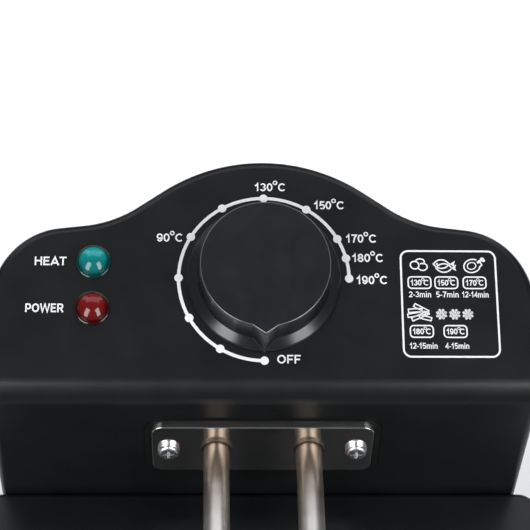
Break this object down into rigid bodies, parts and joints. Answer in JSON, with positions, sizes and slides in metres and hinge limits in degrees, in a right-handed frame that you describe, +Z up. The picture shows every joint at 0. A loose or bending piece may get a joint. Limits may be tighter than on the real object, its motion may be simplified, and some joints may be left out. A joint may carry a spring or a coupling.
{
  "type": "deep fryer control and heating head",
  "caption": "Lift-off fryer head: black folded-steel case with a sloping hill-topped dial panel, lamps, rear hanging shelf and a flat immersion heater loop.",
  "frame": {"origin": "on the bench, under the middle of the head and heater's footprint", "axes": "+X to the user's right, +Y to the rear of the fryer, +Z up"},
  "size_m": [0.213, 0.3704, 0.2537],
  "materials": {
    "case_black": "satin black baked powder coat with a very fine texture",
    "shelf_black": "satin black baked powder coat",
    "galvanised": "dull zinc-coated sheet",
    "stainless": "polished stainless sheet",
    "heater_sheath": "drawn nickel alloy tube, satin, lightly heat tinted",
    "bright_zinc": "bright zinc plate",
    "shelf_rivet": "black",
    "gasket_black": "matt heat-proof rubber",
    "foot_rubber": "matt",
    "knob_black": "satin moulded plastic, fine grain",
    "lens_green": "glossy translucent",
    "lens_red": "glossy translucent",
    "clear_body": "clear moulding",
    "steel_shaft": "turned",
    "switch_black": "moulded",
    "phenolic": "pressed resin",
    "ceramic": "unglazed ceramic",
    "reset_red": "moulded",
    "nickel": "nickel plate",
    "copper": "drawn copper",
    "nylon_black": "moulded nylon",
    "brass": "turned brass",
    "wire_white": "glass-fibre sleeving",
    "wire_green": "insulation"
  },
  "bodies": {
    "head": {"base_lugs": "galvanised", "base_plate": "galvanised", "base_screws": "bright_zinc", "bulb_clip": "stainless", "cover_screws": "bright_zinc", "cutout_body": "switch_black", "cutout_bulb": "nickel", "cutout_capillary": "copper", "cutout_nut": "nickel", "earth_nuts": "brass", "earth_stud": "brass", "earth_wire": "wire_green", "element_wires": "wire_white", "end_seals": "ceramic", "flange_nuts": "bright_zinc", "flange_screws": "bright_zinc", "front_shell": "case_black", "front_stay_lower": "stainless", "front_stay_upper": "stainless", "gland_body": "nylon_black", "gland_cap": "nylon_black", "gland_locknut": "nylon_black", "gland_seal": "gasket_black", "hanging_shelf": "shelf_black", "heat_lamp_body": "clear_body", "heat_lamp_clip": "bright_zinc", "heat_lamp_lens": "lens_green", "heater_flange": "stainless", "heater_gasket": "gasket_black", "heater_tube": "heater_sheath", "interlock_bracket": "galvanised", "interlock_switch": "switch_black", "plunger_guide": "switch_black", "power_lamp_body": "clear_body", "power_lamp_clip": "bright_zinc", "power_lamp_lens": "lens_red", "rear_cover": "case_black", "rear_stay_lower": "stainless", "rear_stay_upper": "stainless", "rubber_feet": "foot_rubber", "seam_strips": "galvanised", "sensor_bulb": "nickel", "sensor_capillary": "copper", "shelf_rivets": "shelf_rivet", "stay_nuts": "bright_zinc", "stay_screws": "bright_zinc", "terminal_block": "ceramic", "terminal_pins": "steel_shaft", "terminal_screws": "bright_zinc", "thermostat_body": "phenolic", "thermostat_bracket": "galvanised", "thermostat_bush": "steel_shaft", "thermostat_screws": "bright_zinc", "tube_collars": "stainless"},
    "knob": {"control_knob": "knob_black", "thermostat_shaft": "steel_shaft", "knob_clip": "bright_zinc"},
    "plunger": {"interlock_plunger": "steel_shaft"},
    "reset": {"reset_button": "reset_red"}
  },
  "joints": [
    {"name": "knob_turn", "type": "hinge", "parent": "head", "child": "knob", "pos_m": [0, 0.11697, 0.22908], "axis": [0, 0.3811, -0.9245], "range_deg": [0, 270]},
    {"name": "plunger_press", "type": "slide", "parent": "head", "child": "plunger", "axis": [0, 1, 0], "range_m": [0, 0.004], "stiffness_N_per_m": 400, "springref_m": -0.003},
    {"name": "reset_press", "type": "slide", "parent": "head", "child": "reset", "axis": [0, -1, 0], "range_m": [0, 0.0015], "stiffness_N_per_m": 500, "springref_m": -0.002}
  ]
}
